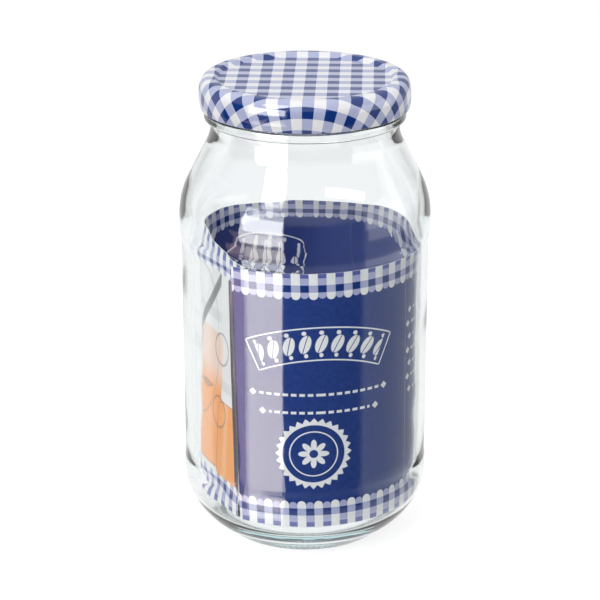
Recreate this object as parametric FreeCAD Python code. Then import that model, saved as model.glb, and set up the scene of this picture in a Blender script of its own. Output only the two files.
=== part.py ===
import FreeCAD, Part
import math
import os

V = FreeCAD.Vector
AXIS = V(0, 0, 1)

# Origin: centre of the jar's foot, +Z up through the mouth, -Y towards the front of the leaflet.
# A corner of a turned outline is (radius, height, rounding radius).

# ---- glass jar: outside ----
bodyRadius = 49.4           # widest, at the shoulder
heelInset = 0.5             # heel inside the widest radius
panelInset = 1.15           # label panel inside the widest radius
footInset = 17.0            # outer edge of the foot inside the heel
footWidth = 3.4             # ring that the jar stands on
footRound = 3.0
pushUp = 3.6                # hollow under the base
hollowFlank = 5.0           # radial width of the hollow's sloping edge
hollowFall = 0.5            # how much lower the hollow is where that edge starts
heelSlope = 51.8            # degrees, lower heel measured from upright
heelRound = 28.0
panelBottom = 32.2
panelHeight = 91.4
panelStep = 2.0             # height of the step at each end of the panel
stepRound = 3.0
shoulderRise = 16.1         # from the panel's top to where the shoulder's slope starts
shoulderSlope = 27.0        # degrees from upright
shoulderRound = 32.0
neckLength = 6.0            # upright neck below the bead
neckRound = 16.0
finishRadius = 38.0         # upright wall that carries the ribs
finishHeight = 12.1         # from the bead to the rim
neckInset = 1.3             # neck inside the finish
beadOut = 1.3               # bead under the closure, outside the finish
beadHeight = 3.7
beadRound = 1.2
rimRound = 1.3

# ---- glass jar: inside ----
wall = 2.85                 # glass behind the label panel
finishWall = 3.6
floorEdgeZ = 6.2
floorDome = 2.0             # rise of the floor towards its centre
floorRound = 15.5
innerShoulderLift = 1.3     # start of the inner slope above the outer one
innerShoulderRound = 28.0
innerNeckRound = 15.0

# ---- ribs that the lid's lugs turn under ----
ribCount = 6
ribArc = 44.0               # degrees of the finish that one rib covers
ribOut = 1.4                # how far a rib stands off the finish
ribHeight = 2.0             # at its root, which lies ribRoot inside the finish
ribTipHeight = 0.6
ribRoot = 1.0
ribPitch = 3.5              # degrees, falling the way the lid turns to close

# ---- lid: one drawn sheet ----
sheet = 0.25
panelSink = 0.5             # flat centre below the jar's rim
mouthGap = 1.1              # between the flat centre's edge and the mouth
riseWidth = 1.6             # radial width of the slope up to the crest
riseRound = 0.6
crestRound = 0.8
lidRound = 2.2              # outer shoulder of the lid
curlRadius = 0.6            # rolled lower edge
curlGap = 0.15              # between the curl and the ribs' tips
skirtGap = 0.85             # between the curl and the bead
skirtTuck = 0.35            # how far the skirt draws in above the curl
skirtTuckHeight = 2.2
lugArc = 14.0               # degrees
lugLead = 14.0              # degrees from the middle of a rib to the lug under its low end
lugHeight = 1.0
lugRound = 0.35
lugTipGap = 0.15            # between a lug and the finish
lugTopGap = 0.1             # between a lug and the rib above it

# ---- sealing ring in the lid ----
gasketThickness = 0.55
gasketBevel = 0.2
gasketInset = 0.4           # from the top of the lid's slope to the ring's inner edge
gasketMargin = 0.1          # outer edge inside the finish
gasketGap = 0.05            # below the sheet of the lid

# ---- leaflet rolled up inside ----
card = 0.35
rollGap = 1.0               # between the roll and the jar's wall
seatGap = 0.1               # between the leaflet's lower edge and the heel's inside
topGap = 1.4                # from the leaflet's upper edge to the top of the label panel
flapAngle = 232.0           # azimuth of the front flap's free edge
pageAzimuth = 204.6         # direction in which the straight inner page faces
pageInset = 8.9             # how far that page stands inside the roll
pageBend = 12.0             # bend between the roll and the page
pageEndGap = 1.1            # left between the page's end and the flap


def slopeMeets(cornerRadius, cornerZ, radius, slope):
    """Height at which a slope from (cornerRadius, cornerZ) reaches another radius."""
    return cornerZ + (cornerRadius - radius) / math.tan(math.radians(slope))


# ---- radii and heights that follow ----
heelRadius = bodyRadius - heelInset
panelRadius = bodyRadius - panelInset
footOuter = heelRadius - footInset
footInner = footOuter - footWidth
wallInner = panelRadius - wall
neckRadius = finishRadius - neckInset
mouthRadius = finishRadius - finishWall
panelTop = panelBottom + panelHeight
shoulderCornerZ = panelTop + shoulderRise
innerShoulderZ = shoulderCornerZ + innerShoulderLift
neckCornerZ = slopeMeets(bodyRadius, shoulderCornerZ, neckRadius, shoulderSlope)
beadBottom = neckCornerZ + neckLength
beadTop = beadBottom + beadHeight
rimTop = beadTop + finishHeight
floorCentreZ = floorEdgeZ + floorDome

ribTip = finishRadius + ribOut
curlCentre = ribTip + curlGap + curlRadius
curlZ = beadTop + skirtGap + curlRadius
lidRadius = curlCentre + curlRadius + skirtTuck
lidPanelRadius = mouthRadius - mouthGap
lidPanelZ = rimTop - panelSink
crestRadius = lidPanelRadius + riseWidth
gasketTop = rimTop + gasketThickness
crestZ = gasketTop + gasketGap + sheet
lugTip = finishRadius + lugTipGap
lugTop = curlZ + lugHeight / 2
rollRadius = wallInner - rollGap


def tangentRun(before, corner, after):
    """Length that a corner's rounding takes off each of its two sides."""
    a = V(before[0] - corner[0], 0, before[1] - corner[1])
    b = V(after[0] - corner[0], 0, after[1] - corner[1])
    return corner[2] / math.tan(a.getAngle(b) / 2)


def limited(corners):
    """The same corners, with a rounding made smaller where two would meet on a short side."""
    runs = [0] + [tangentRun(*three) if three[1][2] > 0 else 0
                  for three in zip(corners, corners[1:], corners[2:])] + [0]
    shares = [1.0] * len(corners)
    for i in range(len(corners) - 1):
        side = math.dist(corners[i][:2], corners[i + 1][:2])
        if runs[i] + runs[i + 1] > side:
            share = side / (runs[i] + runs[i + 1])
            shares[i] = min(shares[i], share)
            shares[i + 1] = min(shares[i + 1], share)
    return [(r, z, rounding * share) for (r, z, rounding), share in zip(corners, shares)]


def roundedPath(sharp):
    """Edges through the corners, with each inner corner rounded by a tangent arc."""
    corners = limited(sharp)
    edges = []
    last = V(corners[0][0], 0, corners[0][1])
    for before, corner, after in zip(corners, corners[1:], corners[2:]):
        point = V(corner[0], 0, corner[1])
        if corner[2] <= 0:
            if point.distanceToPoint(last) > 1e-6:
                edges.append(Part.makeLine(last, point))
            last = point
            continue
        back = (V(before[0], 0, before[1]) - point).normalize()
        ahead = (V(after[0], 0, after[1]) - point).normalize()
        run = tangentRun(before, corner, after)
        start = point + back * run
        end = point + ahead * run
        inward = (back + ahead).normalize()
        centre = point + inward * math.hypot(run, corner[2])
        middle = centre - inward * corner[2]
        if start.distanceToPoint(last) > 1e-6:
            edges.append(Part.makeLine(last, start))
        edges.append(Part.Arc(start, middle, end).toShape())
        last = end
    edges.append(Part.makeLine(last, V(corners[-1][0], 0, corners[-1][1])))
    return edges


def turned(corners, angle=360):
    """Solid of revolution of a closed outline."""
    edges = roundedPath(corners)
    closing = (corners[-1][:2], corners[0][:2])
    if closing[0] != closing[1]:
        edges.append(Part.makeLine(V(closing[0][0], 0, closing[0][1]), V(closing[1][0], 0, closing[1][1])))
    return Part.Face(Part.Wire(edges)).revolve(V(0, 0, 0), AXIS, angle)


def offsetCorners(corners, distance):
    """The same outline moved to the right of its direction of travel by a sheet's thickness."""
    moved = []
    for i, corner in enumerate(corners):
        sides = []
        for a, b in ((i - 1, i), (i, i + 1)):
            if a >= 0 and b < len(corners):
                along = V(corners[b][0] - corners[a][0], corners[b][1] - corners[a][1], 0).normalize()
                sides.append(V(along.y, -along.x, 0))
        mean = sides[0] + sides[-1]
        shift = mean * (distance / (1 + sides[0].dot(sides[-1])))
        turn = sides[0].cross(sides[-1]).z
        radius = corner[2] - math.copysign(distance, -turn) if corner[2] > 0 else 0
        moved.append((corner[0] + shift.x, corner[1] + shift.y, radius))
    return moved


def finishRib(azimuth):
    half = ribHeight / 2
    tipHalf = ribTipHeight / 2
    root = finishRadius - ribRoot
    under = half - (half - tipHalf) * (lugTip - root) / (ribTip - root)
    fall = ribTip * math.sin(math.radians(lugLead + lugArc / 2)) * math.tan(math.radians(ribPitch))
    middle = lugTop + lugTopGap + under + fall
    rib = turned([(root, middle - half, 0), (ribTip, middle - tipHalf, 0), (ribTip, middle + tipHalf, 0),
                  (root, middle + half, 0)], ribArc)
    rib.rotate(V(0, 0, 0), AXIS, -ribArc / 2)
    rib.rotate(V(0, 0, middle), V(1, 0, 0), ribPitch)
    rib.rotate(V(0, 0, 0), AXIS, azimuth)
    return rib


def glassJar():
    heelFootZ = slopeMeets(footOuter, 0, heelRadius, -heelSlope)
    innerNeckZ = slopeMeets(wallInner, innerShoulderZ, mouthRadius, shoulderSlope)
    outside = [(0, pushUp, 0), (footInner - hollowFlank, pushUp - hollowFall, 0), (footInner, 0, 0),
               (footOuter, 0, footRound), (heelRadius, heelFootZ, heelRound),
               (heelRadius, panelBottom - panelStep, stepRound), (panelRadius, panelBottom, 0),
               (panelRadius, panelTop, 0), (bodyRadius, panelTop + panelStep, stepRound),
               (bodyRadius, shoulderCornerZ, shoulderRound), (neckRadius, neckCornerZ, neckRound),
               (neckRadius, beadBottom, 0), (finishRadius + beadOut, beadBottom, beadRound),
               (finishRadius + beadOut, beadTop, beadRound), (finishRadius, beadTop, 0),
               (finishRadius, rimTop, rimRound)]
    inside = [(mouthRadius, rimTop, rimRound), (mouthRadius, innerNeckZ, innerNeckRound),
              (wallInner, innerShoulderZ, innerShoulderRound),
              (wallInner, floorEdgeZ, floorRound), (0, floorCentreZ, 0)]
    jar = turned(outside + inside)
    ribs = [finishRib(i * 360 / ribCount) for i in range(ribCount)]
    return jar.multiFuse(ribs).removeSplitter()


def twistLid():
    outer = [(0, lidPanelZ, 0), (lidPanelRadius, lidPanelZ, riseRound), (crestRadius, crestZ, crestRound),
             (lidRadius, crestZ, lidRound), (lidRadius, curlZ + skirtTuckHeight, 0),
             (lidRadius - skirtTuck, curlZ, 0)]
    inner = offsetCorners(outer, sheet)
    inner[0] = (0, inner[0][1], 0)
    edges = roundedPath(outer) + roundedPath(inner)
    for a, b in ((outer[0], inner[0]), (outer[-1], inner[-1])):
        edges.append(Part.makeLine(V(a[0], 0, a[1]), V(b[0], 0, b[1])))
    shell = Part.Face(Part.Wire(Part.__sortEdges__(edges))).revolve(V(0, 0, 0), AXIS, 360)
    curl = Part.makeTorus(curlCentre, curlRadius, V(0, 0, curlZ), AXIS)
    lugBottom = lugTop - lugHeight
    lugOutline = [(curlCentre, lugBottom, 0), (lugTip, lugBottom, lugRound), (lugTip, lugTop, lugRound),
                  (curlCentre, lugTop, 0)]
    lugs = []
    for i in range(ribCount):
        lug = turned(lugOutline, lugArc)
        lug.rotate(V(0, 0, 0), AXIS, i * 360 / ribCount - lugLead - lugArc / 2)
        lugs.append(lug)
    return shell.multiFuse([curl] + lugs)


def lidGasket():
    inner = crestRadius + gasketInset
    outer = finishRadius - gasketMargin
    shoulder = gasketTop - gasketBevel
    return turned([(inner, rimTop, 0), (outer, rimTop, 0), (outer, shoulder, 0),
                   (outer - gasketBevel, gasketTop, 0), (inner + gasketBevel, gasketTop, 0),
                   (inner, shoulder, 0)])


def leafletFace(inset):
    """Edges of one face of the card, moved in from its outer face."""
    roll = rollRadius - inset
    bend = pageBend - inset
    pageDistance = rollRadius - pageInset - inset
    facing = V(math.cos(math.radians(pageAzimuth)), math.sin(math.radians(pageAzimuth)), 0)
    along = V(-facing.y, facing.x, 0)
    back = math.sqrt((roll - bend) ** 2 - (pageDistance - bend) ** 2)
    bendCentre = facing * (pageDistance - bend) - along * back
    outward = V(bendCentre).normalize()
    reach = math.sqrt((rollRadius - card - pageEndGap) ** 2 - (rollRadius - pageInset) ** 2)
    start = math.radians(flapAngle)
    finish = math.atan2(outward.y, outward.x) + 2 * math.pi
    middle = (start + finish) / 2
    flapEdge = V(math.cos(start), math.sin(start), 0) * roll
    rollMiddle = V(math.cos(middle), math.sin(middle), 0) * roll
    rollEnd = outward * roll
    bendMiddle = bendCentre + (outward + facing).normalize() * bend
    bendEnd = bendCentre + facing * bend
    pageEnd = facing * pageDistance + along * reach
    edges = [Part.Arc(flapEdge, rollMiddle, rollEnd).toShape(),
             Part.Arc(rollEnd, bendMiddle, bendEnd).toShape(), Part.makeLine(bendEnd, pageEnd)]
    return edges, flapEdge, pageEnd


def leaflet():
    outerEdges, outerStart, outerEnd = leafletFace(0)
    innerEdges, innerStart, innerEnd = leafletFace(card)
    edges = outerEdges + innerEdges
    edges += [Part.makeLine(outerStart, innerStart), Part.makeLine(outerEnd, innerEnd)]
    seat = leafletSeat()
    solid = Part.Face(Part.Wire(Part.__sortEdges__(edges))).extrude(V(0, 0, panelTop - topGap - seat))
    solid.translate(V(0, 0, seat))
    return solid


def leafletSeat():
    """Height at which the roll meets the curve between the jar's wall and its floor."""
    corner = (wallInner, floorEdgeZ, floorRound)
    curveTop = floorEdgeZ + tangentRun((wallInner, rimTop), corner, (0, floorCentreZ))
    drop = wallInner - rollRadius - seatGap
    return curveTop - math.sqrt(floorRound ** 2 - (floorRound - drop) ** 2)


parts = {
    "glass_jar": glassJar(),
    "twist_lid": twistLid(),
    "lid_gasket": lidGasket(),
    "leaflet": leaflet(),
}

os.makedirs("parts", exist_ok=True)
for name, shape in parts.items():
    shape.exportStep("parts/" + name + ".step")
    box = shape.BoundBox
    print(name, "solids", len(shape.Solids), "valid", shape.isValid(), "cm3", round(shape.Volume / 1000, 3),
          "z", round(box.ZMin, 3), round(box.ZMax, 3), "r", round(box.XMax, 3))
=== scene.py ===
import math

import bmesh
import bpy
from mathutils import Matrix, Vector, noise


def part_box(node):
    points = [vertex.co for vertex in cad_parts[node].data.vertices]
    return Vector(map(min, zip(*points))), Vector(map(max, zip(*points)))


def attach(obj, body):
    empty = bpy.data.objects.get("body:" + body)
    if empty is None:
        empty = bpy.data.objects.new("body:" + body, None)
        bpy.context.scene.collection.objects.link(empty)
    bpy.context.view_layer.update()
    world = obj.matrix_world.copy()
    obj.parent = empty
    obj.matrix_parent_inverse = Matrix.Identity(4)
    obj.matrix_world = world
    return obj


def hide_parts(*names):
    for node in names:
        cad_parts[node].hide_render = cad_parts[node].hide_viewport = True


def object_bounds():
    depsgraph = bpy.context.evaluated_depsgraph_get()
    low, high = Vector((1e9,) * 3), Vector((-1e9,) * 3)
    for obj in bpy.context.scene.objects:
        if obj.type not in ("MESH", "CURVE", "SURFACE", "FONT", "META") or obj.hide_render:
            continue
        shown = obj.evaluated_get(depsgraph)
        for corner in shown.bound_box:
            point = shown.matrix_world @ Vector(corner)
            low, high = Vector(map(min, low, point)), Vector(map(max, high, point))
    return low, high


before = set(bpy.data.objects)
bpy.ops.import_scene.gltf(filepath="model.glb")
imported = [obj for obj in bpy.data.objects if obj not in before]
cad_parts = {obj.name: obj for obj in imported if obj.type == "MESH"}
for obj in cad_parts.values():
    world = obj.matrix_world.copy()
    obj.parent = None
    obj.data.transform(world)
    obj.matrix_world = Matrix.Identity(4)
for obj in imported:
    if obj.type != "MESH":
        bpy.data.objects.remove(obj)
cadLow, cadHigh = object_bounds()
mm = 0.001
print("frame loaded")

studio = {
    "elevation": 20.31,     # degrees above the horizon
    "distance": 0.9226,
    "aimHeight": 0.5061,    # share of the jar's height
    "focalLength": 138.84,
    "shiftX": -0.00833,
    "floorRadius": 0.75,
    "floorColour": (0.34, 0.34, 0.34),
    "floorGlow": 0.78,
    "worldLevel": 0.93,
    "keyPower": 5.0,
    "keySize": 0.55,
    "keyPlace": (-0.55, -0.75, 0.95),
    "roomLevel": 0.92,
    "farLevel": 0.95,       # what light sees that was reflected more than once
    "dimLevel": 0.05,       # parts of the room that are not lit
    # panels of the room: left, right, low and high in degrees, softness, level
    "dark": (-100.0, 58.0, -32.0, 17.0, 8.0, 1.0),
    "grey": (58.0, 140.0, -30.0, -12.0, 10.0, 0.62),
    "lamp": (-58.5, -21.5, -30.0, -16.5, 1.0, 4.3),
    "tinted": (-76.5, -58.5, -30.0, -16.5, 1.5, 1.65),
    "window": (-61.0, -20.5, -13.0, 21.0, 1.5, 11.0),
    "sideWindow": (58.0, 106.0, -12.0, 20.0, 4.0, 2.2),
    "behind": 0.3,          # how much the room dims behind the jar
    "tintedStart": -76.5, "tintedRise": -18.7, "tintedSlant": 1.4,
    "lampColour": (1.0, 0.90, 0.80), "tintedColour": (1.0, 0.70, 0.74),
}


class Wire:
    def __init__(self, shader, socket):
        self.shader = shader
        self.socket = socket

    def run(self, operation, *others):
        values = dict(enumerate((self,) + others))
        return self.shader.node("ShaderNodeMath", {"operation": operation}, values)

    def output(self, name):
        return Wire(self.shader, self.socket.node.outputs[name])

    def __add__(self, other):
        return self.run("ADD", other)

    def __sub__(self, other):
        return self.run("SUBTRACT", other)

    def __rsub__(self, other):
        return (self * -1) + other

    def __mul__(self, other):
        return self.run("MULTIPLY", other)

    def __truediv__(self, other):
        return self.run("DIVIDE", other)

    def __mod__(self, other):
        return self.run("FLOORED_MODULO", other)

    def __gt__(self, other):
        return self.run("GREATER_THAN", other)

    def __lt__(self, other):
        return self.run("LESS_THAN", other)

    def __abs__(self):
        return self.run("ABSOLUTE")

    __radd__ = __add__
    __rmul__ = __mul__


class Shader:
    def __init__(self, owner):
        owner.use_nodes = True
        self.owner = owner
        self.tree = owner.node_tree
        self.tree.nodes.clear()

    def node(self, kind, settings=None, inputs=None, output=0):
        made = self.tree.nodes.new(kind)
        for name, value in (settings or {}).items():
            setattr(made, name, value)
        for name, value in (inputs or {}).items():
            socket = made.inputs[name]
            if isinstance(value, Wire):
                self.tree.links.new(value.socket, socket)
            elif isinstance(value, tuple) and socket.type == "RGBA":
                socket.default_value = (*value[:3], 1)
            else:
                socket.default_value = value
        return Wire(self, made.outputs[output]) if len(made.outputs) else made

    def mix(self, share, first, second):
        return self.node("ShaderNodeMix", {"data_type": "RGBA"}, {0: share, 6: first, 7: second}, 2)

    def within(self, distance, blur):
        # 1 where the distance is below 0, with a soft edge
        return self.node("ShaderNodeMapRange", {"interpolation_type": "SMOOTHSTEP"},
                         {"Value": distance, "From Min": blur / 2, "From Max": -blur / 2})

    def noise(self, place, scale, detail):
        return self.node("ShaderNodeTexNoise", {"noise_dimensions": "3D"},
                         {"Vector": place, "Scale": scale, "Detail": detail})

    def objectPlace(self):
        place = self.node("ShaderNodeTexCoord", {}, {}, "Object")
        parts = self.node("ShaderNodeSeparateXYZ", {}, {"Vector": place})
        return place, parts, parts.output("Y"), parts.output("Z")

    def sheetPlace(self, layer):
        place = self.node("ShaderNodeUVMap", {"uv_map": layer}, {})
        parts = self.node("ShaderNodeSeparateXYZ", {}, {"Vector": place})
        return place, parts, parts.output("Y")

    def bump(self, height, strength, distance):
        values = {"Height": height, "Strength": strength, "Distance": distance}
        return self.node("ShaderNodeBump", {}, values)

    def finish(self, surface, volume=None):
        inputs = {"Surface": surface}
        if volume is not None:
            inputs["Volume"] = volume
        isWorld = isinstance(self.owner, bpy.types.World)
        self.node("ShaderNodeOutputWorld" if isWorld else "ShaderNodeOutputMaterial", {}, inputs)
        return self.owner


def either(*masks):
    total = masks[0]
    for mask in masks[1:]:
        total = total.run("MAXIMUM", mask)
    return total


def root(a, b):
    return (a * a + b * b).run("SQRT")


# shapes shared by the pieces

def roundedOutline(corners, turnStep=4.0, stride=2.0):
    # points through (radius, height, rounding) corners; roundings become arcs, long runs are divided
    points = [Vector(corners[0][:2])]

    def runTo(target):
        gap = target - points[-1]
        count = max(1, math.ceil(gap.length / stride))
        start = points[-1].copy()
        for i in range(1, count + 1):
            points.append(start + gap * (i / count))

    for before, corner, after in zip(corners, corners[1:], corners[2:]):
        here = Vector(corner[:2])
        if corner[2] <= 0:
            runTo(here)
            continue
        back = (Vector(before[:2]) - here).normalized()
        ahead = (Vector(after[:2]) - here).normalized()
        turn = math.pi - back.angle(ahead)
        cut = corner[2] * math.tan(turn / 2)
        centre = here + (back + ahead).normalized() * math.hypot(cut, corner[2])
        arm = here + back * cut - centre
        side = 1 if arm.cross(here + ahead * cut - centre) > 0 else -1
        if (centre + arm - points[-1]).length > 1e-6:
            runTo(centre + arm)
        count = max(2, math.ceil(math.degrees(turn) / turnStep))
        for i in range(1, count + 1):
            angle = side * turn * i / count
            points.append(centre + Matrix.Rotation(angle, 2) @ arm)
    runTo(Vector(corners[-1][:2]))
    return points


def addOutline(mesh, points):
    dots = [mesh.verts.new((p[0] * mm, 0, p[1] * mm)) for p in points]
    return dots + [mesh.edges.new(pair) for pair in zip(dots, dots[1:])]


def spinRound(mesh, outline, steps):
    bmesh.ops.spin(mesh, geom=outline, cent=(0, 0, 0), axis=(0, 0, 1), angle=math.tau, steps=steps,
                   use_merge=True, use_duplicate=False)
    bmesh.ops.remove_doubles(mesh, verts=mesh.verts, dist=1e-6)


def makePiece(name, mesh, materials, node, sharpAngle=35.0):
    for edge in mesh.edges:
        edge.smooth = len(edge.link_faces) == 2 and edge.calc_face_angle() < math.radians(sharpAngle)
    for face in mesh.faces:
        face.smooth = True
    data = bpy.data.meshes.new(name)
    mesh.to_mesh(data)
    mesh.free()
    for material in materials:
        data.materials.append(material)
    piece = bpy.data.objects.new(name, data)
    bpy.context.scene.collection.objects.link(piece)
    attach(piece, "root")
    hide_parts(node)
    print("made", name, len(data.polygons), "faces")
    return piece


def azimuthOf(point):
    return math.atan2(point.y, point.x)


# glass jar: radii and heights in mm, from the axis and the floor

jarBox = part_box("glass_jar")
jar = {
    "steps": 240,
    "footInner": 28.5, "footOuter": 31.9, "pushUp": 3.6,
    "heelRadius": 48.9, "heelSlope": 51.8, "heelRound": 28.0,
    "panelRadius": 48.5, "panelTopRadius": 48.75, "panelBottom": 33.0, "panelTop": 122.2,
    "heelStep": 5.0, "heelStepRound": 15.0, "topStep": 5.0, "topStepRound": 14.0,
    "shoulderCornerZ": 139.7, "shoulderSlope": 27.0, "shoulderRound": 32.0,
    "neckRadius": 36.7, "neckRound": 16.0,
    "beadRadius": 39.3, "beadRound": 1.2, "beadHeight": 3.7, "finishHeight": 12.1,
    "finishRadius": 38.0, "rimRound": 1.3,
    "ribCount": 6, "ribArc": 44.0, "ribEnd": 2.5, "ribOut": 1.4, "ribHalf": 1.1, "ribDown": 8.5,
    "ribPitch": 3.5, "ribFlat": 1.6,
    "wallInner": 45.4, "floorEdgeZ": 6.2, "floorCentreZ": 8.2, "floorRound": 15.5,
    "innerShoulderZ": 141.0, "innerShoulderRound": 28.0, "mouthRadius": 34.4, "innerNeckRound": 15.0,
    "wave": 0.10, "waveScale": 38, "rippleScale": 90,       # the inside is uneven, as no mould touches it
    "seamAngle": -88.0, "seamWidth": 1.6, "seamOut": 0.12,  # angle and half width in degrees
    "dotCount": 92, "dotTop": 3.2, "dotReach": 30.0, "dotHeight": 0.35,     # stippling round the foot
    "skinScale": 26.0, "skinHeight": 0.22,
    "tint": (0.33, 0.78, 0.81), "tintDensity": 10.0, "ior": 1.5,
}


def slopeMeets(cornerRadius, cornerZ, radius, slope):
    return cornerZ + (cornerRadius - radius) / math.tan(math.radians(slope))


def glassMaterial():
    shader = Shader(bpy.data.materials.new("clearGlass"))
    place, x, y, z = shader.objectPlace()
    azimuth = y.run("ARCTAN2", x)
    radius = root(x, y)
    low = shader.within(z - jar["dotTop"] * mm, 0.002) * shader.within(jar["dotReach"] * mm - radius, 0.001)
    share = (azimuth * (jar["dotCount"] / math.tau)).run("FRACT")
    dots = shader.within(abs(share - 0.5) - 0.22, 0.2)
    skin = shader.noise(place, jar["skinScale"], 1.0)
    height = dots * low * (jar["dotHeight"] * mm) + skin * (jar["skinHeight"] * mm)
    glass = shader.node("ShaderNodeBsdfPrincipled", {}, {
        "Base Color": (1.0, 1.0, 1.0), "Roughness": 0.0, "IOR": jar["ior"], "Transmission Weight": 1.0,
        "Normal": shader.bump(height, 1.0, 1.0)})
    clear = shader.node("ShaderNodeBsdfTransparent", {}, {"Color": (1.0, 1.0, 1.0)})
    shadow = shader.node("ShaderNodeLightPath", {}, {}, "Is Shadow Ray")
    volume = shader.node("ShaderNodeVolumeAbsorption", {},
                         {"Color": jar["tint"], "Density": jar["tintDensity"]})
    return shader.finish(shader.node("ShaderNodeMixShader", {}, {0: shadow, 1: glass, 2: clear}), volume)


def ribSwell(place, rimTop):
    # how far the finish stands out at a point, in mm
    pitch = 360 / jar["ribCount"]
    turn = (math.degrees(azimuthOf(place)) + pitch / 2) % pitch - pitch / 2
    climb = jar["finishRadius"] * math.radians(turn) * math.tan(math.radians(jar["ribPitch"]))
    middle = rimTop - jar["ribDown"] + climb
    height = max(0, 1 - abs(place.z / mm - middle) / jar["ribHalf"])
    ends = max(0, min(1, (jar["ribArc"] / 2 - abs(turn)) / jar["ribEnd"]))
    return jar["ribOut"] * min(1, height * jar["ribFlat"]) * ends


def makeJar():
    rimTop = jarBox[1].z / mm
    shoulderRadius = jarBox[1].x / mm
    heelFoot = slopeMeets(jar["footOuter"], 0, jar["heelRadius"], -jar["heelSlope"])
    neckCorner = slopeMeets(shoulderRadius, jar["shoulderCornerZ"], jar["neckRadius"], jar["shoulderSlope"])
    innerNeck = slopeMeets(jar["wallInner"], jar["innerShoulderZ"], jar["mouthRadius"], jar["shoulderSlope"])
    beadTop = rimTop - jar["finishHeight"]
    beadBottom = beadTop - jar["beadHeight"]
    outside = [(0, jar["pushUp"], 0), (jar["footInner"] - 5, jar["pushUp"] - 0.5, 4.0),
               (jar["footInner"], 0, 1.0),
               (jar["footOuter"], 0, 3.0), (jar["heelRadius"], heelFoot, jar["heelRound"]),
               (jar["heelRadius"], jar["panelBottom"] - jar["heelStep"], jar["heelStepRound"]),
               (jar["panelRadius"], jar["panelBottom"], jar["heelStepRound"]),
               (jar["panelTopRadius"], jar["panelTop"], jar["topStepRound"]),
               (shoulderRadius, jar["panelTop"] + jar["topStep"], jar["topStepRound"]),
               (shoulderRadius, jar["shoulderCornerZ"], jar["shoulderRound"]),
               (jar["neckRadius"], neckCorner, jar["neckRound"]), (jar["neckRadius"], beadBottom, 0.7),
               (jar["beadRadius"], beadBottom, jar["beadRound"]), (jar["beadRadius"], beadTop, 0.6),
               (jar["finishRadius"], beadTop, 0.4), (jar["finishRadius"], rimTop, jar["rimRound"]),
               (jar["mouthRadius"], rimTop, jar["rimRound"]),
               (jar["mouthRadius"], innerNeck, jar["innerNeckRound"]),
               (jar["wallInner"], jar["innerShoulderZ"], jar["innerShoulderRound"]),
               (jar["wallInner"], jar["floorEdgeZ"], jar["floorRound"]), (0, jar["floorCentreZ"], 0)]
    mesh = bmesh.new()
    spinRound(mesh, addOutline(mesh, roundedOutline(outside)), jar["steps"])
    bmesh.ops.recalc_face_normals(mesh, faces=mesh.faces)
    for dot in mesh.verts:
        radius = math.hypot(dot.co.x, dot.co.y)
        outward = Vector((dot.co.x, dot.co.y, 0)).normalized()
        inner = dot.co.z > 0.0075 and radius < jar["wallInner"] * mm + 1e-5 and dot.normal.dot(dot.co) < 0
        if inner and radius > 0.005 and dot.co.z < 0.165:
            wave = noise.noise(dot.co * jar["waveScale"]) + 0.5 * noise.noise(dot.co * jar["rippleScale"])
            dot.co += outward * wave * jar["wave"] * mm
        elif radius > jar["finishRadius"] * mm - 1e-5 and dot.co.z > (beadTop + 0.5) * mm:
            dot.co += outward * ribSwell(dot.co, rimTop) * mm
        elif dot.co.z > jar["panelTop"] * mm and not inner and radius > jar["neckRadius"] * mm - 1e-5:
            for side in (0, 180):
                turn = math.degrees(azimuthOf(dot.co)) - jar["seamAngle"] - side
                turn = abs((turn + 180) % 360 - 180)
                room = max(0, shoulderRadius - radius / mm)     # the seam never passes the body's width
                dot.co += outward * min(max(0, 1 - turn / jar["seamWidth"]) * jar["seamOut"], room) * mm
    makePiece("jarGlass", mesh, [glassMaterial()], "glass_jar")


makeJar()

# lid: a pressed sheet, printed outside and white inside

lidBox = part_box("twist_lid")
lid = {
    "steps": 216,
    "sheet": 0.25, "radius": 41.1, "panelSink": 1.35, "panelRadius": 33.3,
    "riseWidth": 1.6, "riseRound": 0.5, "crestRound": 0.8,
    "slopeWidth": 1.9, "slopeDrop": 3.6, "upperRound": 3.4, "lowerRound": 7.0,
    "curlRadius": 0.6, "skirtTuck": 0.35, "skirtTuckHeight": 2.2,
    "lugCount": 6, "lugArc": 14.0, "lugEnd": 1.5, "lugLead": -14.0, "lugReach": 1.25,
    "drawnFrom": 33.3, "drawnTo": 41.6, "drawnLoss": 2.2,       # where forming stretched the printed sheet
    "checkPeriod": 8.77, "checkTurn": 1.8, "checkShift": (-2.05, 6.2), "threadPeriod": 0.42,
    "white": (0.78, 0.78, 0.80), "paleBlue": (0.40, 0.43, 0.62), "navy": (0.003, 0.030, 0.180),
}


def ginghamMasks(shader, u, v, period, blur):
    column = shader.within(abs((u + period / 2) % period - period / 2) - period / 4, blur)
    row = shader.within(abs((v + period / 2) % period - period / 2) - period / 4, blur)
    return column, row


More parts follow.
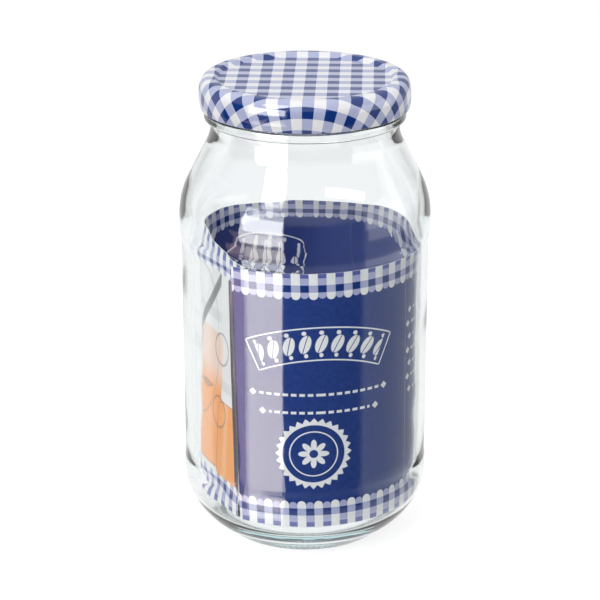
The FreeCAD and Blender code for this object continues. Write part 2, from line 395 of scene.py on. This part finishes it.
def lidPrintMaterial():
    shader = Shader(bpy.data.materials.new("printedTinplate"))
    place, u, v = shader.sheetPlace("sheetMap")
    turn = math.radians(lid["checkTurn"])
    half = lid["checkPeriod"] / 2
    across = u * math.cos(turn) + v * math.sin(turn) - (lid["checkShift"][0] - half)
    along = v * math.cos(turn) - u * math.sin(turn) - lid["checkShift"][1]
    column, row = ginghamMasks(shader, across, along, lid["checkPeriod"], 0.12)
    wave = math.tau / lid["threadPeriod"]
    thread = (u * wave).run("SINE") * 0.5 + (v * wave).run("SINE") * 0.5
    patchy = shader.noise(place, 0.9, 3.0)
    one = shader.mix(either(column, row), lid["white"], lid["paleBlue"])
    both = shader.mix(column * row, one, lid["navy"])
    shade = thread * 0.015 + patchy * 0.05 + 0.975
    colour = shader.node("ShaderNodeVectorMath", {"operation": "SCALE"}, {0: both, "Scale": shade})
    peel = shader.noise(place, 0.55, 2.0)
    scuff = shader.noise(place, 0.12, 4.0)
    look = shader.node("ShaderNodeBsdfPrincipled", {}, {
        "Base Color": colour, "Roughness": scuff * 0.05 + 0.05, "IOR": 1.6, "Specular IOR Level": 0.5,
        "Normal": shader.bump(peel, 0.35, 0.00006)})
    return shader.finish(look)


def lacquerMaterial():
    shader = Shader(bpy.data.materials.new("whiteLacquer"))
    place = shader.objectPlace()[0]
    mottle = shader.noise(place, 300.0, 3.0)
    colour = shader.mix(mottle, (0.72, 0.72, 0.70), (0.82, 0.82, 0.80))
    look = shader.node("ShaderNodeBsdfPrincipled", {}, {
        "Base Color": colour, "Roughness": mottle * 0.12 + 0.22,
        "Normal": shader.bump(mottle, 0.2, 0.0001)})
    return shader.finish(look)


def pressLugs(mesh, curlMiddle, curlZ):
    # the curl is squeezed inwards to a tongue under each rib of the jar
    pitch = 360 / lid["lugCount"]
    for dot in mesh.verts:
        radius = math.hypot(dot.co.x, dot.co.y) / mm
        if abs(dot.co.z / mm - curlZ) > lid["curlRadius"] + 0.01 or radius > curlMiddle:
            continue
        turn = (math.degrees(azimuthOf(dot.co)) - lid["lugLead"] + pitch / 2) % pitch - pitch / 2
        share = max(0, min(1, (lid["lugArc"] / 2 - abs(turn)) / lid["lugEnd"]))
        inward = -Vector((dot.co.x, dot.co.y, 0)).normalized()
        dot.co += inward * share * lid["lugReach"] * mm * min(1, (curlMiddle - radius) / lid["curlRadius"])


def makeLid():
    crestZ = lidBox[1].z / mm
    bottomZ = lidBox[0].z / mm
    panelZ = crestZ - lid["panelSink"]
    curl = lid["curlRadius"]
    skirtFoot = lid["radius"] - lid["skirtTuck"]
    outside = roundedOutline([
        (0, panelZ, 0), (lid["panelRadius"], panelZ, lid["riseRound"]),
        (lid["panelRadius"] + lid["riseWidth"], crestZ, lid["crestRound"]),
        (lid["radius"] - lid["slopeWidth"], crestZ, lid["upperRound"]),
        (lid["radius"], crestZ - lid["slopeDrop"], lid["lowerRound"]),
        (lid["radius"], bottomZ + curl + lid["skirtTuckHeight"], 2.0),
        (skirtFoot, bottomZ + curl, 0)], 6.0, 1.5)
    curlCentre = Vector((skirtFoot - curl, bottomZ + curl))
    rolled = [curlCentre + Matrix.Rotation(-math.radians(angle), 2) @ Vector((curl, 0))
              for angle in range(18, 325, 18)]
    outer = outside + rolled
    inner = []
    for before, point, after in zip(outside, outside[1:], outside[2:]):
        along = (after - before).normalized()
        if point.y > bottomZ + 2 * curl + lid["sheet"]:
            inner.append(point + Vector((along.y, -along.x)) * lid["sheet"])
    inner = [Vector((0, panelZ - lid["sheet"]))] + inner
    mesh = bmesh.new()
    reach = mesh.verts.layers.float.new("reach")        # length along the sheet from its centre
    outline = addOutline(mesh, outer + inner[::-1])
    length = 0.0
    for i, (point, dot) in enumerate(zip(outer, outline)):
        length += (point - outer[max(i - 1, 0)]).length
        drawn = (length - lid["drawnFrom"]) / (lid["drawnTo"] - lid["drawnFrom"])
        dot[reach] = length - lid["drawnLoss"] * max(0, min(1, drawn))
    for dot in outline[len(outer):len(outer) + len(inner)]:
        dot[reach] = -1.0
    spinRound(mesh, outline, lid["steps"])
    bmesh.ops.recalc_face_normals(mesh, faces=mesh.faces)
    layer = mesh.loops.layers.uv.new("sheetMap")
    for face in mesh.faces:
        for loop in face.loops:
            azimuth = azimuthOf(loop.vert.co)
            length = loop.vert[reach]
            loop[layer].uv = (length * math.cos(azimuth), -length * math.sin(azimuth))
            if length < 0:
                face.material_index = 1
    pressLugs(mesh, skirtFoot - curl, bottomZ + curl)
    materials = [lidPrintMaterial(), lacquerMaterial()]
    makePiece("lidSheet", mesh, materials, "twist_lid", 50.0)


makeLid()

# seal inside the lid: its CAD shape is used as it is

def sealMaterial():
    shader = Shader(bpy.data.materials.new("whiteSeal"))
    place = shader.objectPlace()[0]
    grain = shader.noise(place, 900.0, 2.0)
    colour = shader.mix(grain, (0.70, 0.69, 0.66), (0.80, 0.79, 0.76))
    look = shader.node("ShaderNodeBsdfPrincipled", {}, {
        "Base Color": colour, "Roughness": grain * 0.1 + 0.4, "Normal": shader.bump(grain, 0.2, 0.0001)})
    return shader.finish(look)


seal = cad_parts["lid_gasket"]
seal.data.materials.clear()
seal.data.materials.append(sealMaterial())

# leaflet: one rolled card, its print measured in mm along the sheet and up from its foot

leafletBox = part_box("leaflet")
leafletHeight = 105.0       # mm, which the print is laid out for
leaflet = {
    "rows": 42, "columns": 260,
    "card": 0.35, "radius": 44.4,
    "flapAngle": 232.0, "footFlapAngle": 236.0,
    "topInset": 8.9, "topFacing": 204.6,        # the inner page at the leaflet's top edge
    "footInset": 5.6, "footFacing": 207.0,      # and at its foot, where it stands further out
    "bend": 12.0, "endGap": 1.1,
    "checkPeriod": 6.61, "columnStart": 1.08, "columnWidth": 3.2,
    "firstRow": 1.95, "otherRow": 2.85, "shortScallop": 2.5, "longScallop": 2.95,
    "panelWidth": 74.0, "printLean": 0.029, "creaseWidth": 0.36,
    "paper": (0.86, 0.86, 0.87), "paleBlue": (0.42, 0.44, 0.66), "middleBlue": (0.10, 0.13, 0.40),
    # the last navy here is a lighter haze on the inner face: painted reflection
    "navy": (0.006, 0.036, 0.200), "innerNavy": (0.030, 0.055, 0.230), "reflectionHazeNavy": (0.075, 0.110, 0.340),
    # the last colour here darkens the gap at the flap's free edge and the page beside it: painted shadow
    "pageTint": (0.80, 0.79, 0.79), "paintedShadowNavy": (0.004, 0.009, 0.040),
    "fruit": (0.97, 0.34, 0.045), "paleFruit": (0.96, 0.56, 0.28), "steel": (0.11, 0.11, 0.12),
}
emblem = {
    "bow": 62.0, "half": 6.6, "line": 0.28, "spread": 27.6, "clear": 0.405,
    "pitch": 6.2, "leafWidth": 2.1, "leafLength": 3.7, "berryOut": 4.6, "berry": 0.85,
}
rosette = {
    "teeth": 28, "toothDepth": 3.4, "band": (2.9, 1.7), "ringShare": 0.62,
    "petal": 3.4, "core": 2.6, "eye": 1.7,
}
picture = {
    "jars": ((-13.0, 12.0, 70.0, 15.0), (13.0, 9.0, 43.0, 14.0)),       # middle, foot, top, half width
    "corner": 5.0, "full": 50.0, "clip": 45.0, "wireRadius": 6.5,
    "lever": (-4.4, 90.0), "leverSlope": 1.25, "leverSpan": 1.6, "leverHalf": 2.0, "leverEnd": -2.0,
    "loop": (-22.0, 62.0), "loopRadius": 20.0, "loopSquash": 0.62,
    "shade": 3.6, "shadeLean": 0.150,       # where the flap's shadow starts at the top, and its slant
}
# places of the printed marks: across from the panel's middle, up from the foot, half width or radius
places = {
    "emblem": (-1.2, 76.5), "rules": ((-1.2, 55.4, 24.0), (-1.2, 48.0, 20.0)), "rosette": (-3.8, 30.8, 15.0),
    "sideRules": 7, "sideTop": 82.0, "sidePitch": 5.6, "sideStagger": -1.5, "sideHalf": 31.0,
    "insideEdge": 24.0, "insideEmblem": 82.0, "insideRosette": (36.0, 14.0),
}
soft = 0.16         # softness of the printed edges


def rollOutline(inset, facing, share, flapAngle=leaflet["flapAngle"]):
    # outer face of the card from the flap's free edge to the end of the inner page
    facing = math.radians(facing)
    roll = leaflet["radius"]
    bend = leaflet["bend"]
    distance = roll - inset
    aim = Vector((math.cos(facing), math.sin(facing)))
    side = Vector((-aim.y, aim.x))
    back = math.sqrt((roll - bend) ** 2 - (distance - bend) ** 2)
    centre = aim * (distance - bend) - side * back
    reach = math.sqrt((roll - leaflet["card"] - leaflet["endGap"]) ** 2 - distance ** 2)
    start = math.radians(flapAngle)
    leave = math.atan2(centre.y, centre.x) % math.tau + math.tau
    rollLength = roll * (leave - start)
    bendAngle = facing + math.tau - leave
    bendLength = bend * bendAngle
    total = rollLength + bendLength + back + reach
    length = share * total
    if length <= rollLength:
        angle = start + length / roll
        return Vector((math.cos(angle), math.sin(angle))) * roll, total
    if length <= rollLength + bendLength:
        angle = leave + (length - rollLength) / bend
        return centre + Vector((math.cos(angle), math.sin(angle))) * bend, total
    past = length - rollLength - bendLength
    return centre + aim * bend + side * past, total


def footPlace(share):
    return rollOutline(leaflet["footInset"], leaflet["footFacing"], share, leaflet["footFlapAngle"])[0]


def topPlace(share):
    return rollOutline(leaflet["topInset"], leaflet["topFacing"], share)[0]


def makeLeaflet():
    foot, top = leafletBox[0].z, leafletBox[1].z
    height = (top - foot) / mm
    columns, rows = leaflet["columns"], leaflet["rows"]
    mesh = bmesh.new()
    column = mesh.verts.layers.float.new("along")
    dots = []
    for i in range(columns + 1):
        place = footPlace(i / columns)
        dot = mesh.verts.new((place.x * mm, place.y * mm, foot))
        dot[column] = i / columns
        dots.append(dot)
    edges = [mesh.edges.new(pair) for pair in zip(dots, dots[1:])]
    for row in range(rows):
        grown = bmesh.ops.extrude_edge_only(mesh, edges=edges)["geom"]
        edges = [item for item in grown if isinstance(item, bmesh.types.BMEdge)]
        dots = [item for item in grown if isinstance(item, bmesh.types.BMVert)]
        bmesh.ops.translate(mesh, vec=(0, 0, (top - foot) / rows), verts=dots)
    layer = mesh.loops.layers.uv.new("sheetMap")
    total = rollOutline(leaflet["topInset"], leaflet["topFacing"], 0)[1]
    for dot in mesh.verts:
        rise = (dot.co.z - foot) / (top - foot)
        place = footPlace(dot[column]).lerp(topPlace(dot[column]), rise)
        dot.co.x, dot.co.y = place.x * mm, place.y * mm
    for face in mesh.faces:
        for loop in face.loops:
            loop[layer].uv = (loop.vert[column] * total, (loop.vert.co.z - foot) / mm)
    bmesh.ops.recalc_face_normals(mesh, faces=mesh.faces)
    right = Vector((leaflet["radius"] * mm, 0, foot))
    middle = min(mesh.faces, key=lambda face: (face.calc_center_median() - right).length)
    if middle.normal.x < 0:
        bmesh.ops.reverse_faces(mesh, faces=mesh.faces)
    materials = [printMaterial("leafletOutside", height), printMaterial("leafletInside", height),
                 cardEdgeMaterial()]
    piece = makePiece("leafletSheet", mesh, materials, "leaflet", 60.0)
    wall = piece.modifiers.new("card", "SOLIDIFY")
    wall.thickness = leaflet["card"] * mm
    wall.offset = -1
    wall.material_offset = 1
    wall.material_offset_rim = 2
    graph = bpy.context.evaluated_depsgraph_get()
    data = bpy.data.meshes.new_from_object(piece.evaluated_get(graph), depsgraph=graph)
    piece.modifiers.clear()
    piece.data = data


def borderMasks(shader, u, v, height):
    # distance up from the nearer edge drives both borders
    rise = abs(v - height / 2) * -1 + height / 2
    period = leaflet["checkPeriod"]
    centre = leaflet["columnStart"] + leaflet["columnWidth"] / 2
    offset = abs((u - centre + period / 2) % period - period / 2)
    column = shader.within(offset - leaflet["columnWidth"] / 2, 0.14)
    first, other = leaflet["firstRow"], leaflet["otherRow"]
    rowOne = shader.within(rise - first, 0.14)
    rowThree = shader.within(abs(rise - (first + 1.5 * other)) - other / 2, 0.14)
    gapWidth = period - leaflet["columnWidth"]
    deep = first + 2 * other
    blueEnd = deep + leaflet["shortScallop"] - leaflet["columnWidth"] / 2
    whiteEnd = deep + leaflet["longScallop"] - gapWidth / 2
    blueTip = root(offset, (rise - blueEnd).run("MAXIMUM", 0))
    whiteTip = root(offset * -1 + period / 2, (rise - whiteEnd).run("MAXIMUM", 0))
    border = either(shader.within(blueTip - leaflet["columnWidth"] / 2, 0.14),
                    shader.within(whiteTip - gapWidth / 2, 0.14))
    return border, column, rowOne, rowThree


def emblemMask(shader, u, v, centreU, centreV):
    # a garland of leaves and berries between two thin arcs
    bow, half, line = emblem["bow"], emblem["half"], emblem["line"]
    x = u - centreU
    y = v - (centreV - bow)
    radius = root(x, y)
    angle = x.run("ARCTAN2", y)
    span = shader.within(abs(angle) - 0.44, 0.01)
    arcs = either(shader.within(abs(radius - (bow + half)) - line, soft),
                  shader.within(abs(radius - (bow - half)) - line, soft)) * span
    ends = shader.within(abs(abs(angle) * bow - emblem["spread"]) - line, soft)
    ends = ends * shader.within(abs(radius - bow) - half, soft)
    pitch = emblem["pitch"]
    along = (angle * bow + pitch / 2) % pitch - pitch / 2
    across = radius - bow
    rib = along * 0.9 - across * 0.35
    leaf = root(rib / emblem["leafWidth"], (across * 0.9 + along * 0.35) / emblem["leafLength"])
    berry = root(along, abs(across) - emblem["berryOut"])
    inner = shader.within(abs(angle) - emblem["clear"], 0.01)
    leaves = shader.within(leaf - 1.0, soft) - shader.within(abs(rib) - 0.16, soft)
    shapes = either(leaves.run("MAXIMUM", 0), shader.within(berry - emblem["berry"], 0.2))
    return either(arcs, ends, shapes * inner)


def ruleMask(shader, u, v, centreU, centreV, halfWidth):
    # a stitched rule that ends in lozenges
    x = abs(u - centreU)
    y = abs(v - centreV)
    dash = shader.within(abs((x + 0.8) % 3.2 - 1.6) - 1.05, soft)
    line = shader.within(y - 0.55, soft) * shader.within(x - halfWidth, soft) * dash
    lozenge = shader.within(abs(x - (halfWidth + 2.6)) + y - 1.5, 0.2)
    return either(line, lozenge)


def rosetteMask(shader, u, v, centreU, centreV, radius):
    # a toothed ring round a flower
    x = u - centreU
    y = v - centreV
    far = root(x, y)
    angle = y.run("ARCTAN2", x)
    share = (angle * (rosette["teeth"] / math.tau)).run("FRACT")
    tooth = abs(share - 0.5) * rosette["toothDepth"]
    inside, outside = rosette["band"]
    rim = shader.within(far - (radius - outside) - tooth, soft)
    rim = rim - shader.within(far - (radius - inside), soft)
    ring = shader.within(abs(far - radius * rosette["ringShare"]) - 0.25, soft)
    petals = shader.within(far - (abs((angle * 4).run("COSINE")) * rosette["petal"] + rosette["core"]), 0.2)
    eye = shader.within(far - rosette["eye"], 0.2)
    return either(rim, ring, petals - eye)


def frontMarks(shader, u, v, middle):
    # the flap's free edge leans at the foot, and this keeps its print upright
    drawn = u + (leafletHeight - v) * leaflet["printLean"]
    across, up = places["emblem"]
    marks = [emblemMask(shader, drawn, v, middle + across, up)]
    for across, up, half in places["rules"]:
        marks.append(ruleMask(shader, drawn, v, middle + across, up, half))
    across, up, radius = places["rosette"]
    marks.append(rosetteMask(shader, drawn, v, middle + across, up, radius))
    return marks


def sideMarks(shader, u, v, middle):
    marks = []
    for i in range(places["sideRules"]):
        across = middle + places["sideStagger"] * (i % 2)
        marks.append(ruleMask(shader, u, v, across, places["sideTop"] - places["sidePitch"] * i,
                              places["sideHalf"]))
    return marks


def insideMarks(shader, u, v, edge):
    across = edge - places["insideEdge"]
    up, radius = places["insideRosette"]
    return [emblemMask(shader, u, v, across, places["insideEmblem"]),
            rosetteMask(shader, u, v, across, up, radius)]


def printMaterial(name, height):
    inside = name == "leafletInside"
    shader = Shader(bpy.data.materials.new(name))
    place, u, v = shader.sheetPlace("sheetMap")
    border, column, rowOne, rowThree = borderMasks(shader, u, v, height)
    tone = shader.mix(column, leaflet["paper"], leaflet["paleBlue"])
    tone = shader.mix(rowOne, tone, shader.mix(column, leaflet["paper"], leaflet["middleBlue"]))
    tone = shader.mix(rowThree, tone, shader.mix(column, leaflet["paleBlue"], leaflet["navy"]))
    grain = shader.noise(place, 0.5, 3.0)
    panel = leaflet["panelWidth"]
    deep = leaflet["navy"]
    # on the inside the navy turns lighter past 164 mm along the sheet: a painted haze of reflected light
    if inside:
        deep = shader.mix(shader.within(u - 164.0, 26.0), leaflet["innerNavy"], leaflet["reflectionHazeNavy"])
    field = shader.mix(grain * 0.25, deep, leaflet["middleBlue"])
    if inside:
        marks = insideMarks(shader, u, v, 3 * panel)
    else:
        marks = frontMarks(shader, u, v, panel / 2) + sideMarks(shader, u, v, panel * 1.5)
    field = shader.mix(either(*marks), field, leaflet["paper"])
    if not inside:
        # painted shadow: the flap's outer face is darkened along its first half mm at the free edge
        field = shader.mix(shader.within(u - 0.5, 0.3), field, leaflet["paintedShadowNavy"])
        page = shader.within((u - 3 * panel) * -1, 0.2)
        field = shader.mix(page, field, pagePicture(shader, place, u - 3.5 * panel, v))
    colour = shader.mix(border, field, tone)
    fold = abs((u + panel / 2) % panel - panel / 2)
    crease = shader.within(fold - leaflet["creaseWidth"] / 2, 0.5) * (u > 4.0)
    wear = crease * shader.noise(place, 2.2, 3.0) * (0.12 if inside else 0.4)
    colour = shader.mix(wear, colour, leaflet["paper"])
    sheen = shader.noise(place, 0.08, 2.0)
    look = shader.node("ShaderNodeBsdfPrincipled", {}, {
        "Base Color": colour, "Roughness": sheen * 0.05 + wear * 0.3 + 0.05, "IOR": 1.5,
        "Normal": shader.bump(crease * -1 + sheen * 0.15, 0.5, 0.00012)})
    return shader.finish(look)


def pictureJar(shader, place, mottle, colour, x, v, design):
    # a jar of fruit, full at the bottom and hazy at the top, with its outline, clip, neck, band and wire
    centre, low, high, half = design
    corner = picture["corner"]
    across = abs(x - centre)
    body = root((across - (half - corner)).run("MAXIMUM", 0),
                (abs(v - (low + high) / 2) - ((high - low) / 2 - corner)).run("MAXIMUM", 0))
    light = shader.within(abs(x - (centre - half * 0.45)) - 1.6, 3.0)
    fill = shader.mix(light * 0.6 + mottle * 0.3, leaflet["fruit"], leaflet["paleFruit"])
    fill = shader.mix(shader.within(picture["full"] - v, 14.0) * 0.62, fill, leaflet["paper"])
    colour = shader.mix(shader.within(body - corner, 1.2), colour, fill)
    outline = shader.within(abs(body - 4.6) - 0.2, 0.3) * shader.within(v - 46.0, 3.0)
    clip = shader.within(across * 0.28 + abs(v - picture["clip"] - across * 0.15) - 1.9, 0.6)
    clip = clip * shader.noise(place, 0.7, 2.0)
    colour = shader.mix(outline * 0.7 + clip * 1.1, colour, leaflet["steel"])
    neck = shader.within(across - (half - 3.0), 0.6) * shader.within(abs(v - (high + 2.0)) - 2.2, 0.6)
    colour = shader.mix(neck, colour, leaflet["paper"])
    band = shader.within(across - (half - 2.0), 0.6) * shader.within(abs(v - (high + 6.6)) - 2.2, 0.6)
    colour = shader.mix(band * 0.12, colour, leaflet["steel"])
    wire = abs(root(across - (half - 1.0), v - (high - 6.0)) - picture["wireRadius"])
    return shader.mix(shader.within(wire - 0.45, 0.4) * 0.55, colour, leaflet["steel"])


def pagePicture(shader, place, x, v):
    # two filled jars below a clamp lever and a wire loop, on a pale ground, darkened beside the flap's free
    # edge by a painted shadow
    mottle = shader.noise(place, 0.16, 3.0)
    colour = shader.mix(mottle, leaflet["pageTint"], leaflet["paper"])
    for design in picture["jars"]:
        colour = pictureJar(shader, place, mottle, colour, x, v, design)
    leverX, leverV = picture["lever"]
    slope = picture["leverSlope"]
    lever = abs(v - leverV - (x - leverX) * slope) / picture["leverSpan"]
    stripe = shader.within(abs(lever - 0.5) - 0.3, 0.2)
    lever = shader.within(lever - picture["leverHalf"], 0.3) * (0.8 + stripe * 0.18)
    lever = lever * shader.within(x - picture["leverEnd"], 0.5)
    colour = shader.mix(lever, colour, leaflet["steel"])
    loopX, loopV = picture["loop"]
    loop = abs(root(x - loopX, (v - loopV) * picture["loopSquash"]) - picture["loopRadius"])
    colour = shader.mix(shader.within(loop - 0.25, 0.3) * 0.4, colour, leaflet["steel"])
    # painted shadow of the flap, laid over the page beside its free edge
    start = picture["shade"] + (leafletHeight - v) * picture["shadeLean"]
    return shader.mix(shader.within(start - x, 0.4), colour, leaflet["paintedShadowNavy"])


def cardEdgeMaterial():
    shader = Shader(bpy.data.materials.new("cardEdge"))
    place, x, y = shader.objectPlace()[:3]
    fibre = shader.noise(place, 2500.0, 3.0)
    colour = shader.mix(fibre, (0.62, 0.61, 0.60), (0.85, 0.84, 0.83))
    # painted shadow: the cut edge turns dark navy within a mm of the flap's free edge
    free = math.radians(leaflet["flapAngle"])
    reach = leaflet["radius"] * mm
    gap = root(x - reach * math.cos(free), y - reach * math.sin(free))
    colour = shader.mix(shader.within(gap - 0.001, 0.0004), colour, leaflet["paintedShadowNavy"])
    look = shader.node("ShaderNodeBsdfPrincipled", {},
                       {"Base Color": colour, "Roughness": fibre * 0.2 + 0.7})
    return shader.finish(look)


makeLeaflet()

# studio

def floorMaterial():
    shader = Shader(bpy.data.materials.new("paleFloor"))
    path = shader.node("ShaderNodeLightPath", {}, {}, "Is Camera Ray")
    seen = (path + path.output("Is Glossy Ray") + path.output("Is Transmission Ray")).run("MINIMUM", 1.0)
    first = path.output("Glossy Depth") < 0.5
    level = seen * first * studio["floorGlow"]
    glow = shader.mix(level, (0, 0, 0), (1, 1, 1))
    look = shader.node("ShaderNodeBsdfPrincipled", {}, {
        "Base Color": studio["floorColour"], "Roughness": 0.9, "Specular IOR Level": 0.0,
        "Emission Color": glow, "Emission Strength": 1.0})
    return shader.finish(look)


def roomWorld():
    world = bpy.data.worlds.new("paleRoom")
    shader = Shader(world)
    place = shader.node("ShaderNodeTexCoord", {}, {}, "Generated")
    x = shader.node("ShaderNodeSeparateXYZ", {}, {"Vector": place})
    y, z = x.output("Y"), x.output("Z")
    around = x.run("ARCTAN2", y * -1) * (180 / math.pi)      # 0 at the front, 90 to the right
    rise = z.run("ARCSINE") * (180 / math.pi)

    def panel(name):
        left, right, low, high, blur, level = studio[name]
        sideways = shader.within(abs(around - (left + right) / 2) - (right - left) / 2, blur)
        upright = shader.within(abs(rise - (low + high) / 2) - (high - low) / 2, blur)
        return sideways * upright * level

    # bright all round but for a dark side in front, which holds two lamps and a window
    slant = studio["tintedStart"] - (rise - studio["tintedRise"]) * studio["tintedSlant"]
    lamp = panel("lamp")
    tinted = panel("tinted") * shader.within(slant - around, 1.5)
    behind = shader.within(125.0 - abs(around), 15.0) * shader.within(abs(rise - 15.0) - 20.0, 8.0)
    plain = (1 - panel("dark")) * (1 - panel("grey")) * (1 - behind * studio["behind"])
    plain = plain * studio["roomLevel"] + studio["dimLevel"]
    room = either(plain, lamp, tinted, panel("window"), panel("sideWindow"))
    path = shader.node("ShaderNodeLightPath", {}, {}, "Is Camera Ray")
    seen = (path + path.output("Is Glossy Ray") + path.output("Is Transmission Ray")).run("MINIMUM", 1.0)
    reflected = path.output("Glossy Depth") > 0.5
    again = path.output("Glossy Depth") > 1.5
    room = again * (studio["farLevel"] - room) + room
    level = seen * (reflected * room + (1 - reflected)) + (1 - seen) * studio["worldLevel"]
    warmth = shader.mix(reflected * (lamp > 0.5), (1.0, 1.0, 1.0), studio["lampColour"])
    warmth = shader.mix(reflected * (tinted > 0.5), warmth, studio["tintedColour"])
    surface = shader.node("ShaderNodeBackground", {}, {"Color": warmth, "Strength": level})
    bpy.context.scene.world = shader.finish(surface)
    world.cycles.sampling_method = "NONE"


def makeStudio():
    mesh = bmesh.new()
    bmesh.ops.create_circle(mesh, cap_ends=True, segments=96, radius=studio["floorRadius"])
    data = bpy.data.meshes.new("floor")
    mesh.to_mesh(data)
    mesh.free()
    data.materials.append(floorMaterial())
    floor = bpy.data.objects.new("floor", data)
    bpy.context.scene.collection.objects.link(floor)
    floor.visible_glossy = False
    floor.visible_transmission = False
    roomWorld()
    key = bpy.data.objects.new("keyLamp", bpy.data.lights.new("keyLamp", "AREA"))
    key.data.shape = "DISK"
    key.data.size = studio["keySize"]
    key.data.energy = studio["keyPower"]
    key.location = studio["keyPlace"]
    aim = Vector((0, 0, cadHigh.z / 2))
    key.rotation_euler = (aim - key.location).to_track_quat("-Z", "Y").to_euler()
    bpy.context.scene.collection.objects.link(key)


def makeCamera():
    rise = math.radians(studio["elevation"])
    aim = Vector((0, 0, cadHigh.z * studio["aimHeight"]))
    back = Vector((0, -math.cos(rise), math.sin(rise)))
    view = bpy.data.objects.new("camera", bpy.data.cameras.new("camera"))
    view.data.lens = studio["focalLength"]
    view.data.sensor_width = 36.0
    view.data.shift_x = studio["shiftX"]
    view.location = aim + back * studio["distance"]
    view.rotation_euler = (-back).to_track_quat("-Z", "Y").to_euler()
    bpy.context.scene.collection.objects.link(view)
    bpy.context.scene.camera = view
    bpy.context.scene.view_settings.view_transform = "Standard"


makeStudio()
makeCamera()
print("studio ready")
